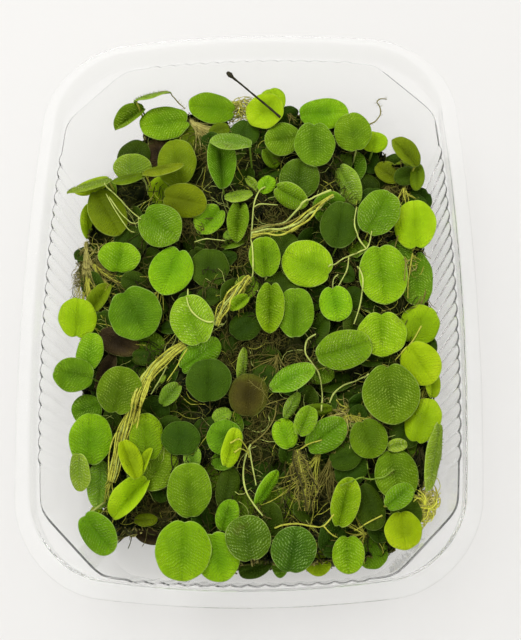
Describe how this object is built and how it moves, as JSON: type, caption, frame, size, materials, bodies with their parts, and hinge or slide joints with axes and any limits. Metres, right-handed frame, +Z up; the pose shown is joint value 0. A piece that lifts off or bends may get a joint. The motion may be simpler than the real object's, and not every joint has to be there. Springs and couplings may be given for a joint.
{
  "type": "tray of water spangles",
  "caption": "Shallow clear fluted tray filled with a mat of floating water fern: round green leaves, braided hairy roots and pale stems over a dark root tangle.",
  "frame": {"origin": "middle of the tray's underside, on the surface that the tray stands on", "axes": "+Z up, out of the tray's mouth; +Y along the tray's long side, away from the viewer of the picture; +X to the viewer's right"},
  "size_m": [0.132, 0.1748, 0.044],
  "materials": {
    "clear_plastic": "clear and glossy",
    "root_tangle": "rough and damp",
    "root_strand": "rough and damp",
    "dead_stalk": "dull",
    "leaf_bright": "waxy satin",
    "leaf_mid": "waxy satin",
    "leaf_dark": "waxy satin",
    "leaf_deep": "waxy satin",
    "leaf_yellow": "waxy satin",
    "leaf_olive": "waxy satin",
    "leaf_pale": "waxy satin"
  },
  "bodies": {
    "root": {"tray": "clear_plastic", "root_mat": "root_tangle", "root_strand_1": "root_strand", "root_strand_2": "root_strand", "root_strand_3": "root_strand", "root_strand_4": "root_strand", "leaf_01": "leaf_dark", "leaf_02": "leaf_olive", "leaf_03": "leaf_olive", "leaf_04": "leaf_bright", "leaf_05": "leaf_dark", "leaf_06": "leaf_dark", "leaf_07": "leaf_bright", "leaf_08": "leaf_dark", "leaf_09": "leaf_mid", "leaf_10": "leaf_yellow", "leaf_11": "leaf_bright", "leaf_12": "leaf_olive", "leaf_13": "leaf_mid", "leaf_14": "leaf_pale", "leaf_15": "leaf_mid", "leaf_16": "leaf_mid", "leaf_17": "leaf_bright", "leaf_18": "leaf_deep", "leaf_19": "leaf_deep", "leaf_20": "leaf_yellow", "leaf_21": "leaf_bright", "leaf_22": "leaf_yellow", "leaf_23": "leaf_mid", "leaf_24": "leaf_yellow", "leaf_25": "leaf_yellow", "leaf_26": "leaf_mid", "leaf_27": "leaf_bright", "leaf_28": "leaf_bright", "leaf_29": "leaf_bright", "leaf_30": "leaf_bright", "leaf_31": "leaf_bright", "leaf_32": "leaf_mid", "leaf_33": "leaf_bright", "leaf_34": "leaf_bright", "leaf_35": "leaf_bright", "leaf_36": "leaf_bright", "leaf_37": "leaf_yellow", "leaf_38": "leaf_bright", "leaf_39": "leaf_bright", "leaf_40": "leaf_deep", "leaf_41": "leaf_bright", "leaf_42": "leaf_mid", "leaf_43": "leaf_mid", "leaf_44": "leaf_mid", "leaf_45": "leaf_yellow", "leaf_46": "leaf_bright", "leaf_47": "leaf_bright", "leaf_48": "leaf_olive", "leaf_49": "leaf_pale", "leaf_50": "leaf_pale", "leaf_51": "leaf_yellow", "leaf_52": "leaf_bright", "leaf_53": "leaf_mid", "dead_stalk": "dead_stalk"}
  },
  "joints": []
}
